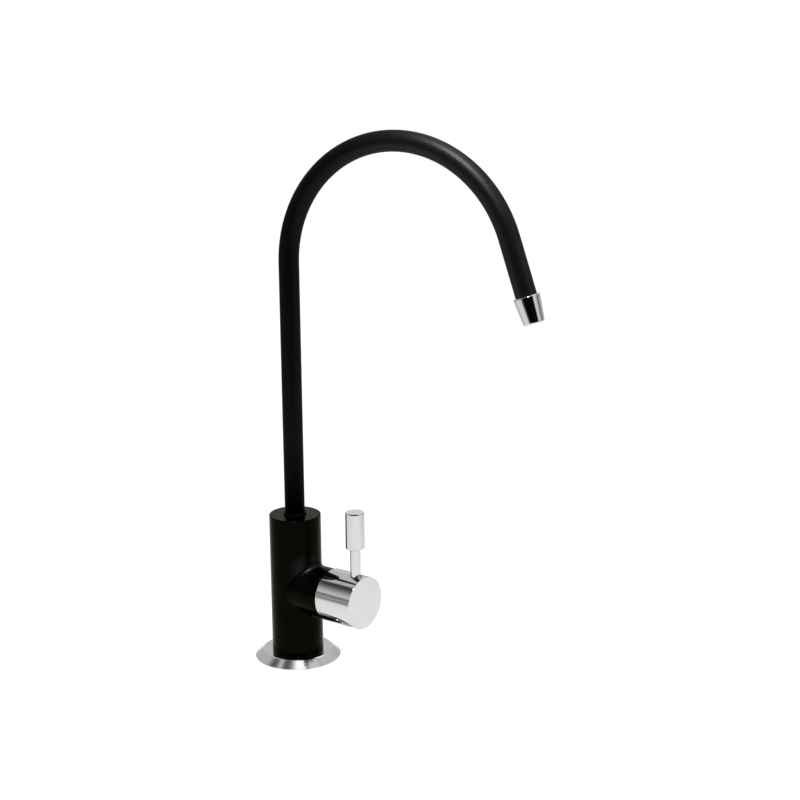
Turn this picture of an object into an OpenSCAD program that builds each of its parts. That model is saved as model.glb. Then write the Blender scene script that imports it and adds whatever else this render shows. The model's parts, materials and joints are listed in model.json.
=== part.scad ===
// Drinking water filter tap: swan neck spout, upright body and side lever valve.
// The origin is on the tap's upright axis in the worktop plane, +Z is up, +X runs along the valve.

/* [Body] */
// Diameter of the upright body
body_d = 30; // [28:0.5:34]
// Height of the body's top face above the worktop
body_top = 87.3; // [86:0.1:100]
// Height of the valve axis above the worktop
valve_z = 43.7; // [42:0.1:46]
// Diameter of the side boss that holds the valve
boss_d = 29.2; // [28:0.1:29.6]
// Distance from the upright axis to the boss's end face
boss_end = 25.9; // [25:0.1:26]

/* [Base] */
// Diameter of the cover flange
flange_d = 50.2; // [48:0.2:60]
// Diameter of the flange's flat top, where its bevel starts
shelf_d = 39.6; // [36:0.2:44]
// Height of the flange's flat top, where the body stands on it
flange_top = 4.5; // [4.2:0.1:6]
// Thickness of the rubber gasket under the flange
gasket_t = 1.5; // [1:0.1:1.8]

/* [Handle] */
// Diameter of the knob
knob_d = 30.5; // [30:0.1:34]
// Length of the knob
knob_l = 25.1; // [25:0.1:30]
// Distance from the upright axis to the lever's axis
lever_x = 45; // [44:0.1:46]
// Diameter of the lever's grip
grip_d = 10.9; // [9:0.1:14]
// Length of the lever's grip
grip_l = 20.6; // [12:0.1:40]
// Diameter of the lever's neck
neck_d = 5.9; // [5.5:0.1:7]
// Distance from the valve axis to the lever's tip
lever_reach = 53.1; // [45:0.1:80]
// Turn of the handle from shut to open
handle_turn = 90; // [60:5:90]

/* [Spout] */
// Outside diameter of the spout tube
tube_d = 11.6; // [11:0.1:11.8]
// Wall of the spout tube
tube_wall = 1; // [0.8:0.1:1.2]
// Height where the bend starts
bend_z = 234.2; // [120:0.1:260]
// Radius of the bend at the tube's centre line
bend_r = 69.8; // [40:0.1:90]
// Angle that the tube is bent through
bend_a = 161.2; // [120:0.1:180]
// Length of straight tube in view after the bend
end_l = 31.3; // [10:0.1:60]
// Turn of the spout from the valve axis, as stored
spout_turn = 8.3; // [-180:0.1:180]
// Diameter of the outlet nozzle at its top
tip_d = 14.5; // [14.2:0.1:18]
// Diameter of the outlet nozzle at its mouth
mouth_d = 11.4; // [10.4:0.1:12]
// Length of the outlet nozzle
tip_l = 14.7; // [13:0.1:20]

/* [Fixing] */
// Diameter of the threaded shank
shank_d = 11; // [10.8:0.1:11.2]
// Length of the shank below the worktop plane
shank_l = 56; // [45:1:80]
// Worktop thickness that the clamping set is stored at
worktop_t = 20; // [4:1:24]
// Width of the fixing nut across its flats
nut_af = 19; // [17:0.5:22]

/* [Hidden] */
$fn = 96;
// Clearances: a turning or sliding fit, pieces that don't move on each other, and pieces that pass
run_clear = 0.06;
set_clear = 0.05;
pass_clear = 0.1;
// Chamfer on the turned edges
edge = 0.5;
body_r = body_d / 2;
boss_r = boss_d / 2;
tube_r = tube_d / 2;
knob_r = knob_d / 2;
knob_x = boss_end + 0.4;
knob_end = knob_x + knob_l;

// Cover flange, and the spigot under the body that sits in its bore
flange_r = flange_d / 2;
flange_lift = 0.3;
rim_t = 0.4;
recess_r = flange_r - 5.2;
spigot_r = body_r - 6;
spigot_z = gasket_t + flange_lift;

// Shank, its seal and the inlet passage
shank_r = shank_d / 2;
shank_bore_r = 3.2;
shank_top_r = shank_r - 0.1;
shank_top_z = spigot_z + 13.2;
shank_seal_t = 1.5;
register_r = shank_r + 0.5;
register_l = 8;
gasket_bore_r = register_r + 0.45;
supply_thread_l = 21;
relief_z = supply_thread_l - shank_l;
relief_w = 1;
relief_depth = 0.8;
inlet_pool_r = shank_top_r - 1.2;
inlet_pool_h = 3;
inlet_z = shank_top_z + shank_seal_t;
inlet_r = 2.6;
inlet_x = -9;

// Valve bores in the body
chamber_r = boss_r - 5.6;
mouth_r = boss_r - 3.8;
collect_r = chamber_r + 1.4;
seat_hole_r = 3.2;

// Valve pieces along +X, from the seat to the knob
seat_x = -2;
seal_t = 1.8;
disc_gap = 0.05;
fixed_disc_x = seat_x + seal_t;
fixed_disc_t = 3;
moving_disc_x = fixed_disc_x + fixed_disc_t + disc_gap;
moving_disc_t = 2.5;
drive_key_w = 3;
drive_key_d = 1.5;
disc_port_a = 80;
disc_hub_r = 2.2;
disc_rim_w = 1.2;
head_x = moving_disc_x + moving_disc_t + disc_gap;
head_t = 3;
stop_t = 1.2;
stop_tab_a = 60;
stop_slack_a = 0.5;
pocket_x = head_x + head_t + disc_gap;
pocket_t = stop_t + 2 * disc_gap;
window_x = fixed_disc_x + fixed_disc_t + 0.2;
window_l = 4;
window_w = 7;
collect_x = window_x - 1.5;
collect_w = window_l + 2;
outlet_r = 2.6;
outlet_x = collect_x + 1.7;
nut_well = 11.9;
shoulder_x = boss_end - nut_well;
shoulder_t = 2.5;

// Cartridge housing, its nut and the spindle
housing_x = seat_x + 0.8;
housing_r = chamber_r - run_clear;
disc_bore_r = chamber_r - 2.1;
head_r = disc_bore_r - 0.3;
neck_r = disc_bore_r - 0.7;
neck_end = boss_end + 3.1;
gland_end = boss_end - 3.4;
gland_hex_t = 5;
gland_wall = 2.3;
gland_hex_af = 2 * (neck_r + gland_wall);
spindle_r = 4;
knob_cap_t = 4.9;
spindle_end = knob_end - knob_cap_t;
clip_room = 4.5;
spline_x = neck_end + clip_room;
spline_r = spindle_r - 0.2;
spline_depth = 0.4;
spline_teeth = 20;
spindle_clip_t = 0.9;
spindle_clip_gap_a = 60;
spindle_clip_r = spindle_r - 0.7;

// Seal rings: the radius of their section and the width of their grooves
ring_r = 0.75;
ring_gap = 0.02;
groove_w = 1.9;
housing_groove_x = shoulder_x - 3.4;
spindle_groove_start = shoulder_x + 0.5;
spindle_groove_pitch = 4.5;
spindle_groove_x = [spindle_groove_start, spindle_groove_start + spindle_groove_pitch];

// Spout swivel
socket_r = tube_r + 0.3;
socket_rise = 15.3;
socket_z = valve_z + socket_rise;
bush_r = tube_r + 0.8;
bush_z = body_top - 11.3;
bush_lip = 1.1;
stub_r = socket_r - run_clear;
stub_z = socket_z + 1.5;
stub_spigot_r = tube_r - tube_wall - set_clear;
stub_spigot_l = 12;
stub_bore_r = stub_spigot_r - 1.35;
stub_groove_z = [stub_z + 3.5, stub_z + 8];
clip_t = 1;
clip_z = bush_z - 3.4;
clip_in_r = stub_r - 0.64;
clip_out_r = socket_r + 1.1;
clip_slack = 0.2;
clip_start_a = 110;
clip_gap_a = 40;
// The straight runs lap over the ends of the bend, which is thinner by the seam
bend_lap = 0.5;
bend_seam = 0.02;

// Knob, lever and grub screw
cavity_r = knob_r - 2.65;
neck_room = 5;
cavity_end = neck_end + neck_room;
hub_r = spindle_r + 3;
hub_setback = 5;
hub_end = lever_x - hub_setback;
stud_r = neck_d / 2 - 0.45;
stud_low = spindle_r + 3.5;
sink_r = neck_d / 2 + 1.25;
sink_low = knob_r - 2.05;
lever_seat = knob_r - 1.45;
grip_chamfer = 0.55;
grub_x = lever_x - 2;
grub_r = 2;
grub_l = 6;
grub_socket_r = 1.15;
grub_socket_d = 2.5;

// Outlet nozzle
tip_socket_d = 5;
tip_seal_t = 1.2;
mouth_bore_r = mouth_d / 2 - 1.2;
straightener_t = 2.6;
straightener_r = mouth_bore_r + 0.4;
straightener_hole_r = 0.75;
straightener_pcr = straightener_r - 1.7;
straightener_holes = 6;
straightener_z = end_l + tip_socket_d + tip_seal_t;

// Clamping set under the worktop
rubber_washer_w = 9.5;
rubber_washer_r = shank_r + rubber_washer_w;
rubber_washer_t = 3;
steel_washer_w = 7.5;
steel_washer_r = shank_r + steel_washer_w;
steel_washer_t = 1.5;
nut_t = 7;
steel_washer_z = -worktop_t - rubber_washer_t;
nut_z = steel_washer_z - steel_washer_t;

// Colours
coat_black = [0.07, 0.07, 0.06];
chrome_grey = [0.84, 0.85, 0.86];
brass_gold = [0.78, 0.62, 0.33];
rubber_black = [0.05, 0.05, 0.05];
ceramic_white = [0.93, 0.92, 0.88];
steel_grey = [0.66, 0.67, 0.68];
fibre_red = [0.55, 0.2, 0.13];
plastic_white = [0.9, 0.9, 0.88];

// Places children on the valve axis: their +Z becomes +X
module on_valve(x) {
    translate([x, 0, valve_z]) rotate([0, 90, 0]) children();
}

// Plain ring or rod from z0 to z1
module tube(r_out, r_in, z0, z1) {
    translate([0, 0, z0]) difference() {
        cylinder(r = r_out, h = z1 - z0);
        if (r_in > 0) translate([0, 0, -1]) cylinder(r = r_in, h = z1 - z0 + 2);
    }
}

// Rod from z0 to z1 with both edges chamfered
module chamfered_rod(r, z0, z1, c) {
    rotate_extrude() polygon([
        [0, z0], [r - c, z0], [r, z0 + c], [r, z1 - c], [r - c, z1], [0, z1]
    ]);
}

// Part of a ring, from the start angle through the sweep
module ring_sector(r_in, r_out, h, start, sweep) {
    rotate([0, 0, start]) rotate_extrude(angle = sweep) translate([r_in, 0]) square([r_out - r_in, h]);
}

// Groove for a seal ring on a rod of the given radius, centred on z
module ring_groove(r, bore_r, z) {
    tube(r + 1, bore_r - 2 * ring_r - 2 * ring_gap, z - groove_w / 2, z + groove_w / 2);
}

// Seal ring that closes the given bore
module seal_ring(bore_r, z) {
    translate([0, 0, z]) rotate_extrude() translate([bore_r - ring_r - ring_gap, 0]) circle(ring_r, $fn = 32);
}

// Toothed outline for the spindle's end and its socket
module spline(r, depth) {
    polygon([
        for (i = [0 : 2 * spline_teeth - 1])
            let (a = 180 * i / spline_teeth, q = r - (i % 2) * depth)
                [q * cos(a), q * sin(a)]
    ]);
}

// Two opposite ports through a ceramic disc
module disc_ports(r_out, h, middle) {
    for (a = [0, 180])
        translate([0, 0, -1])
            ring_sector(disc_hub_r, r_out, h + 2, middle + a - disc_port_a / 2, disc_port_a);
}

// Frame at the end of the bend: +Z points along the flow
module at_bend_end() {
    rotate([0, 0, spout_turn])
        translate([bend_r * (1 - cos(bend_a)), 0, bend_z + bend_r * sin(bend_a)])
            rotate([0, bend_a, 0]) children();
}

// Section of the spout tube, drawn thinner by the seam on both faces
module tube_section(seam) {
    difference() {
        circle(tube_r - seam);
        circle(tube_r - tube_wall + seam);
    }
}

// One hole through the flow straightener
module straightener_hole() {
    tube(straightener_hole_r, 0, straightener_z - 1, straightener_z + straightener_t + 1);
}

module body() {
    inlet_h = valve_z - inlet_z;
    color(coat_black) difference() {
        union() {
            rotate_extrude() polygon([
                [0, spigot_z], [spigot_r, spigot_z], [spigot_r, flange_top], [body_r, flange_top],
                [body_r, body_top - edge], [body_r - edge, body_top], [0, body_top]
            ]);
            on_valve(0) cylinder(r = boss_r, h = boss_end);
        }
        // Shank socket, the pool above its seal and the slanted way up to the valve seat
        tube(shank_top_r + set_clear, 0, spigot_z - 1, inlet_z);
        tube(inlet_pool_r, 0, shank_top_z, inlet_z + inlet_pool_h);
        translate([0, 0, inlet_z])
            rotate([0, atan2(inlet_x, inlet_h), 0])
                cylinder(r = inlet_r, h = norm([inlet_x, inlet_h]));
        on_valve(inlet_x - 1) cylinder(r = seat_hole_r, h = seat_x - inlet_x + 2);
        // Valve chamber, its collecting groove and the mouth for the retaining nut
        on_valve(seat_x) cylinder(r = chamber_r, h = boss_end);
        on_valve(collect_x) cylinder(r = collect_r, h = collect_w);
        on_valve(shoulder_x) cylinder(r = mouth_r, h = boss_end);
        // Way up from the valve to the spout's socket
        translate([outlet_x, 0, valve_z + chamber_r - 1])
            cylinder(r = outlet_r, h = socket_z - valve_z - chamber_r + 2);
        tube(socket_r, 0, socket_z, body_top);
        tube(clip_out_r + run_clear, 0, clip_z, clip_z + clip_t);
        tube(bush_r, 0, bush_z, body_top + 1);
    }
}

module base_flange() {
    color(chrome_grey) rotate_extrude() polygon([
        [flange_r, flange_lift], [flange_r, flange_lift + rim_t], [shelf_d / 2, flange_top],
        [spigot_r + set_clear, flange_top], [spigot_r + set_clear, gasket_t],
        [recess_r, gasket_t], [recess_r, flange_lift]
    ]);
}

module base_gasket() {
    color(rubber_black) tube(recess_r - set_clear, gasket_bore_r, 0, gasket_t);
}

module shank() {
    color(steel_grey) difference() {
        union() {
            tube(shank_top_r, 0, -1, shank_top_z);
            tube(register_r, 0, -register_l, 0);
            chamfered_rod(shank_r, -shank_l, -register_l + edge, edge);
        }
        tube(shank_r + 1, shank_r - relief_depth, relief_z, relief_z + relief_w);
        tube(shank_bore_r, 0, -shank_l - 1, shank_top_z + 1);
    }
}

module shank_seal() {
    color(fibre_red) tube(shank_top_r, shank_bore_r + 0.2, shank_top_z, inlet_z);
}

module cartridge_housing() {
    pocket_a = stop_tab_a + handle_turn + 2 * stop_slack_a;
    color(brass_gold) on_valve(0) difference() {
        union() {
            tube(housing_r, 0, housing_x, shoulder_x + 1);
            tube(mouth_r - set_clear, 0, shoulder_x, shoulder_x + shoulder_t);
            tube(neck_r, 0, shoulder_x, neck_end);
        }
        tube(disc_bore_r, 0, housing_x - 1, pocket_x);
        tube(spindle_r + run_clear, 0, housing_x, neck_end + 1);
        translate([0, 0, pocket_x - 1])
            ring_sector(spindle_r - 0.5, disc_bore_r, pocket_t + 1, -stop_slack_a, pocket_a);
        ring_groove(housing_r, chamber_r, housing_groove_x);
        translate([-chamber_r - 1, -window_w / 2, window_x]) cube([2 * chamber_r + 2, window_w, window_l]);
    }
}

module cartridge_o_ring() {
    color(rubber_black) on_valve(0) seal_ring(chamber_r, housing_groove_x);
}

module seat_seal() {
    color(rubber_black) on_valve(seat_x) tube(disc_bore_r - pass_clear, seat_hole_r + 0.4, 0, seal_t);
}

module fixed_disc() {
    color(ceramic_white) on_valve(fixed_disc_x) difference() {
        cylinder(r = disc_bore_r - set_clear, h = fixed_disc_t);
        disc_ports(disc_bore_r - disc_rim_w, fixed_disc_t, 0);
    }
}

module retaining_nut() {
    color(brass_gold) on_valve(0) difference() {
        union() {
            tube(mouth_r - set_clear, 0, shoulder_x + shoulder_t, gland_end);
            translate([0, 0, gland_end]) cylinder(r = gland_hex_af / 2 / cos(30), h = gland_hex_t, $fn = 6);
        }
        tube(neck_r + pass_clear, 0, shoulder_x, neck_end);
    }
}

module moving_disc() {
    color(ceramic_white) on_valve(moving_disc_x) difference() {
        cylinder(r = head_r - 0.1, h = moving_disc_t);
        disc_ports(disc_bore_r, moving_disc_t, 90);
        translate([-disc_bore_r, -drive_key_w / 2 - set_clear, moving_disc_t - drive_key_d - set_clear])
            cube([2 * disc_bore_r, drive_key_w + 2 * set_clear, drive_key_d + 1]);
    }
}

module spindle() {
    key_l = 2 * head_r - 1.4;
    clip_x = neck_end + pass_clear;
    color(brass_gold) on_valve(0) difference() {
        union() {
            translate([-key_l / 2, -drive_key_w / 2, head_x - drive_key_d])
                cube([key_l, drive_key_w, drive_key_d + 1]);
            tube(head_r, 0, head_x, head_x + head_t);
            translate([0, 0, head_x + head_t - 1])
                ring_sector(spindle_r - 1, head_r, stop_t + 1, 0, stop_tab_a);
            tube(spindle_r, 0, head_x, spline_x);
            translate([0, 0, spline_x - 1])
                linear_extrude(spindle_end - spline_x + 1) spline(spline_r, spline_depth);
        }
        for (x = spindle_groove_x) ring_groove(spindle_r, spindle_r + run_clear, x);
        tube(spindle_r + 1, spindle_clip_r - set_clear, clip_x, clip_x + spindle_clip_t + pass_clear);
    }
}

module spindle_o_rings() {
    color(rubber_black) on_valve(0) for (x = spindle_groove_x) seal_ring(spindle_r + run_clear, x);
}

module spindle_clip() {
    color(steel_grey) on_valve(neck_end + pass_clear + set_clear)
        ring_sector(spindle_clip_r, neck_r - 0.4, spindle_clip_t,
            spindle_clip_gap_a / 2, 360 - spindle_clip_gap_a);
}

module knob() {
    color(chrome_grey) difference() {
        on_valve(0) difference() {
            chamfered_rod(knob_r, knob_x, knob_end, edge);
            tube(cavity_r, 0, knob_x - 1, cavity_end);
            tube(cavity_r, hub_r, cavity_end - 1, hub_end);
            translate([0, 0, cavity_end - 1])
                linear_extrude(spindle_end - cavity_end + 2) spline(spline_r + set_clear, spline_depth);
        }
        // Hole and countersink for the lever, then the hole for the grub screw
        translate([lever_x, 0, valve_z + stud_low - 1]) cylinder(r = stud_r + set_clear, h = knob_r);
        translate([lever_x, 0, valve_z + sink_low])
            cylinder(r1 = stud_r + set_clear, r2 = sink_r, h = knob_r - sink_low + 0.2);
        translate([grub_x, 0, valve_z - knob_r - 1]) cylinder(r = grub_r + set_clear, h = knob_r);
    }
}

module lever() {
    neck = neck_d / 2;
    grip = grip_d / 2;
    grip_low = lever_reach - grip_l;
    color(chrome_grey) translate([lever_x, 0, valve_z]) rotate_extrude() polygon([
        [0, stud_low], [stud_r, stud_low], [stud_r, lever_seat], [neck, lever_seat], [neck, grip_low],
        [grip - grip_chamfer, grip_low], [grip, grip_low + grip_chamfer],
        [grip, lever_reach - grip_chamfer], [grip - grip_chamfer, lever_reach], [0, lever_reach]
    ]);
}

module grub_screw() {
    screw_top = valve_z - spline_r - set_clear;
    color(steel_grey) translate([grub_x, 0, screw_top - grub_l]) difference() {
        cylinder(r = grub_r, h = grub_l);
        translate([0, 0, -1]) cylinder(r = grub_socket_r, h = grub_socket_d + 1, $fn = 6);
    }
}

module spout_bush() {
    color(rubber_black) tube(bush_r - set_clear, tube_r + run_clear, bush_z, body_top + bush_lip);
}

module spout_clip() {
    color(steel_grey) translate([0, 0, clip_z])
        ring_sector(clip_in_r, clip_out_r, clip_t, clip_start_a, 360 - clip_gap_a);
}

module spout_stub() {
    color(brass_gold) difference() {
        union() {
            tube(stub_r, 0, stub_z, bush_z);
            tube(stub_spigot_r, 0, bush_z - 1, bush_z + stub_spigot_l);
        }
        tube(stub_bore_r, 0, stub_z - 1, bush_z + stub_spigot_l + 1);
        for (z = stub_groove_z) ring_groove(stub_r, socket_r, z);
        tube(stub_r + 1, clip_in_r - clip_slack, clip_z - clip_slack, clip_z + clip_t + clip_slack);
    }
}

module spout_o_rings() {
    color(rubber_black) for (z = stub_groove_z) seal_ring(socket_r, z);
}

module spout_tube() {
    color(coat_black) union() {
        translate([0, 0, bush_z]) linear_extrude(bend_z - bush_z + bend_lap) tube_section(0);
        rotate([0, 0, spout_turn]) translate([bend_r, 0, bend_z]) rotate([90, 0, 0])
            rotate([0, 0, 180 - bend_a])
                rotate_extrude(angle = bend_a) translate([bend_r, 0]) tube_section(bend_seam);
        at_bend_end() translate([0, 0, -bend_lap])
            linear_extrude(end_l + tip_socket_d + bend_lap) tube_section(0);
    }
}

module outlet_tip() {
    color(chrome_grey) at_bend_end() difference() {
        rotate_extrude() polygon([
            [0, end_l], [tip_d / 2 - edge, end_l], [tip_d / 2, end_l + edge],
            [mouth_d / 2, end_l + tip_l - edge], [mouth_d / 2 - edge, end_l + tip_l], [0, end_l + tip_l]
        ]);
        tube(tube_r + set_clear, 0, end_l - 1, straightener_z);
        tube(straightener_r + set_clear, 0, end_l, straightener_z + straightener_t);
        tube(mouth_bore_r, 0, end_l, end_l + tip_l + 1);
    }
}

module tip_o_ring() {
    color(rubber_black) at_bend_end()
        tube(tube_r, tube_r - tube_wall, straightener_z - tip_seal_t, straightener_z);
}

module flow_straightener() {
    color(plastic_white) at_bend_end() difference() {
        tube(straightener_r, 0, straightener_z, straightener_z + straightener_t);
        straightener_hole();
        for (i = [0 : straightener_holes - 1])
            rotate([0, 0, i * 360 / straightener_holes]) translate([straightener_pcr, 0, 0])
                straightener_hole();
    }
}

module rubber_washer() {
    color(rubber_black) tube(rubber_washer_r, register_r + pass_clear, steel_washer_z, -worktop_t);
}

module steel_washer() {
    color(steel_grey) tube(steel_washer_r, register_r + pass_clear, nut_z, steel_washer_z);
}

module fixing_nut() {
    color(brass_gold) translate([0, 0, nut_z - nut_t]) difference() {
        cylinder(r = nut_af / 2 / cos(30), h = nut_t, $fn = 6);
        translate([0, 0, -1]) cylinder(r = shank_r + run_clear, h = nut_t + 2);
    }
}

body();
base_flange();
base_gasket();
shank();
shank_seal();
cartridge_housing();
cartridge_o_ring();
seat_seal();
fixed_disc();
retaining_nut();
moving_disc();
spindle();
spindle_o_rings();
spindle_clip();
knob();
lever();
grub_screw();
spout_bush();
spout_clip();
spout_stub();
spout_o_rings();
spout_tube();
outlet_tip();
tip_o_ring();
flow_straightener();
rubber_washer();
steel_washer();
fixing_nut();
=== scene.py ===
import json
import math

import bmesh
import bpy
import numpy as np
from mathutils import Matrix, Vector


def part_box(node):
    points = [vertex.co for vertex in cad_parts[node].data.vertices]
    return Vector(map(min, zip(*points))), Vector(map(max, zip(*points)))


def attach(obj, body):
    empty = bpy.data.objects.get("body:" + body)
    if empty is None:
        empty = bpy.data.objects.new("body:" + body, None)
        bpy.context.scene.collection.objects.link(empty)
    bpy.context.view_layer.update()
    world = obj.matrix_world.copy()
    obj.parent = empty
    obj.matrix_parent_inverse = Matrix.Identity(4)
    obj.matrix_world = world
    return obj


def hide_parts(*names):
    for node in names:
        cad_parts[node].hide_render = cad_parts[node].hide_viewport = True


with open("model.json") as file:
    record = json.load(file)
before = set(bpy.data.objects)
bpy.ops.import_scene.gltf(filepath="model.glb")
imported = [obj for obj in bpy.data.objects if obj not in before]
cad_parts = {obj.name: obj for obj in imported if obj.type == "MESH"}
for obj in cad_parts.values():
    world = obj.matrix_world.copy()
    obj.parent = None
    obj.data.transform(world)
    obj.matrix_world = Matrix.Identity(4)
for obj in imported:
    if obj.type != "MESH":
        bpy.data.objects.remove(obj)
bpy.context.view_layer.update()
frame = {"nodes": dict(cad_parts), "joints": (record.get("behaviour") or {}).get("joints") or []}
nodes = frame["nodes"]
joints = {joint["name"]: joint for joint in frame["joints"]}

# Units: everything is built in metres, and sizes are written in millimetres
MM = 0.001
X, Y, Z = np.eye(3)

# Sizes that the frame gives
body_low, body_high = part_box("body")
flange_low, flange_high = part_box("base_flange")
knob_low, knob_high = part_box("knob")
lever_low, lever_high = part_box("lever")
grub_low, grub_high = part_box("grub_screw")
shank_low, shank_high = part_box("shank")
nut_low, nut_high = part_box("fixing_nut")
gasket_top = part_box("base_gasket")[1].z
bush_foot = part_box("spout_bush")[0].z
valve_z = joints["lever_turn"]["pos_m"][2]
body_r = -body_low.x
body_top = body_high.z
boss_end = body_high.x
knob_r = (knob_high.y - knob_low.y) / 2
lever_x = (lever_low.x + lever_high.x) / 2
grip_r = (lever_high.x - lever_low.x) / 2
grub_x = (grub_low.x + grub_high.x) / 2

# Body
BOSS_R = 14.6 * MM
FILLET = 3 * MM
WALL_MARGIN = 5 * MM
BODY_EDGE = 0.5 * MM
FOOT_EDGE = 0.25 * MM
SPIGOT_R = 9 * MM
SOCKET_R = 6.1 * MM
SOCKET_Z = 59 * MM
SHANK_SOCKET_R = 5.45 * MM
SHANK_SOCKET_Z = 16.5 * MM
BUSH_SEAT_R = 6.6 * MM
BUSH_SEAT_EDGE = 0.2 * MM
MOUTH_R = 10.8 * MM
MOUTH_EDGE = 0.3 * MM
CHAMBER_R = 9 * MM
SHOULDER_X = 14 * MM
SEAT_X = -2 * MM

# Flange
FLANGE_RIM = 0.4 * MM
FLANGE_EDGE = 0.04 * MM
SHELF_R = 20.2 * MM
SHELF_ROLL = 1.5 * MM
FLANGE_BORE_R = 9.05 * MM
RECESS_R = 19.9 * MM

# Handle
KNOB_EDGE = 0.15 * MM
KNOB_BACK_EDGE = 1.6 * MM
CAVITY_R = 12.6 * MM
CAVITY_EDGE = 0.3 * MM
CAVITY_END = 34 * MM
HUB_R = 7 * MM
HUB_END = 40 * MM
WALL_LEAD = 2 * MM
SPINDLE_SOCKET_R = 3.85 * MM
SPINDLE_SOCKET_END = 47.5 * MM
STUD_R = 2.5 * MM
STUD_EDGE = 0.3 * MM
STUD_HOLE_R = 2.55 * MM
STUD_HOLE_LOW = 6.5 * MM
SINK_LOW = 13.2 * MM
SINK_FLARE = 0.733
SINK_PASSES = 8
LEVER_SEAT = 13.8 * MM
NECK_R = 2.95 * MM
NECK_EDGE = 0.1 * MM
NECK_FILLET = 0.9 * MM
GRIP_L = 21.4 * MM
GRIP_EDGE = 0.1 * MM
GRIP_CHAMFER = 0.3 * MM
GRIP_TOP_IN = 0.4 * MM
GRIP_TOP_DOWN = 0.62 * MM
GRUB_HOLE_R = 2.05 * MM

# Spout
TUBE_R = 5.78 * MM
TUBE_BORE_R = 4.8 * MM
BUSH_BORE_R = TUBE_R + 0.06 * MM
BUSH_EDGE = 0.2 * MM
BEND_Z = 234.2 * MM
BEND_R = 69.8 * MM
BEND_A = math.radians(161.2)
END_L = 31.3 * MM
TIP_SOCKET = 5 * MM
SPOUT_TURN = math.radians(8.3)
TIP_R = 7.24 * MM
TIP_EDGE = 0.7 * MM
TIP_L = 14.7 * MM
TIP_BORE_R = 5.85 * MM
TIP_SEAT_R = 4.95 * MM
TIP_SEAT = 6.2 * MM
TIP_SEAT_END = 8.8 * MM
LIP_R = 5.7 * MM
LIP_EDGE = 1 * MM
OUTLET_R = 4.5 * MM
OUTLET_EDGE = 0.25 * MM

# Gasket, shank and fixing set
REGISTER_R = 6 * MM
REGISTER_L = 8 * MM
REGISTER_EDGE = 0.2 * MM
GASKET_BORE_R = REGISTER_R + 0.45 * MM
GASKET_EDGE = 0.3 * MM
SHANK_R = 5.5 * MM
SHANK_TOP_R = 5.4 * MM
SHANK_TOP_EDGE = 0.4 * MM
SHANK_BORE_R = 3.2 * MM
SHANK_BORE_EDGE = 0.3 * MM
RELIEF_R = 4.7 * MM
RELIEF_EDGE = 0.1 * MM
RELIEF_CORNER = 0.2 * MM
RELIEF_LOW = -35 * MM
RELIEF_HIGH = -34 * MM
THREAD_PITCH = 1.27 * MM
THREAD_DEPTH = 0.6 * MM
THREAD_FLAT = 1 / 6
THREAD_RUNOUT = 0.5 * MM
WASHER_BORE_R = 6.1 * MM
RUBBER_EDGE = 0.4 * MM
STEEL_EDGE = 0.2 * MM
NUT_BORE_R = 5.56 * MM
NUT_BORE_EDGE = 0.6 * MM
NUT_APOTHEM = 9.5 * MM
NUT_SLANT = math.radians(30)

# How finely the pieces are divided
ACROSS = 72
RISE = 24
HOLE_ROWS = 14
FILLET_ROWS = 8
ARC_STEPS = 6
BEND_ROWS = 128
THREAD_ROWS = 10
SLANT_ROWS = 6
AROUND = np.arange(2 * ACROSS) * math.pi / ACROSS
WELD = 1e-6
SHARP_ANGLE = math.radians(30)
NORMAL_LAYER = "corner_normal"


class Axis:
    """A turning axis: its origin, two directions across it and the one along it."""

    def __init__(self, origin, across, up, along):
        self.origin = np.array(origin, float)
        self.across = across
        self.up = up
        self.along = along

    def out(self, angles):
        """Directions square to the axis."""
        return np.outer(np.cos(angles), self.across) + np.outer(np.sin(angles), self.up)

    def points(self, r, angles, t):
        """Points at a radius r and a height t along the axis, either of them one value or many."""
        size = np.size(angles)
        reach = np.broadcast_to(r, size)[:, None]
        height = np.broadcast_to(t, size)[:, None]
        return self.origin + self.out(angles) * reach + height * self.along


UPRIGHT = Axis((0, 0, 0), X, Y, Z)
VALVE = Axis((0, 0, valve_z), Y, Z, X)
LEVER = Axis((lever_x, 0, valve_z), -Y, X, Z)
GRUB = Axis((grub_x, 0, valve_z), Y, X, -Z)


class Shape:
    """Faces laid in grids, with the true normal of the surface at each corner."""

    def __init__(self):
        self.bm = bmesh.new()
        self.normal = self.bm.loops.layers.float_vector.new(NORMAL_LAYER)

    def grid(self, points, normals=None, around=False):
        """Quads over rows of points; around joins each row's end to its start."""
        verts = [[self.bm.verts.new(point) for point in np.asarray(row).tolist()] for row in points]
        columns = len(verts[0])
        for i in range(len(verts) - 1):
            for j in range(columns if around else columns - 1):
                k = (j + 1) % columns
                corners = ((i, j), (i, k), (i + 1, k), (i + 1, j))
                face = self.bm.faces.new([verts[a][b] for a, b in corners])
                if normals is None:
                    continue
                for loop, (a, b) in zip(face.loops, corners):
                    loop[self.normal] = normals[a][b]

    def piece(self, name, material, body, slot, *replaced):
        """Welds the grids into one closed mesh that stands for the named solids."""
        bmesh.ops.remove_doubles(self.bm, verts=self.bm.verts, dist=WELD)
        bmesh.ops.recalc_face_normals(self.bm, faces=self.bm.faces)
        mesh = bpy.data.meshes.new(name)
        self.bm.to_mesh(mesh)
        self.bm.free()
        normals = np.zeros(len(mesh.loops) * 3, np.float32)
        mesh.attributes[NORMAL_LAYER].data.foreach_get("vector", normals)
        mesh.attributes.remove(mesh.attributes[NORMAL_LAYER])
        mesh.shade_smooth()
        mesh.set_sharp_from_angle(angle=SHARP_ANGLE)
        mesh.normals_split_custom_set(normals.reshape(-1, 3))
        mesh.materials.append(material)
        obj = bpy.data.objects.new(name, mesh)
        bpy.context.scene.collection.objects.link(obj)
        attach(obj, body)
        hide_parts(*replaced)


def direction(start, end):
    """The unit vector from one point to another."""
    return (end - start) / np.linalg.norm(end - start)


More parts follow.
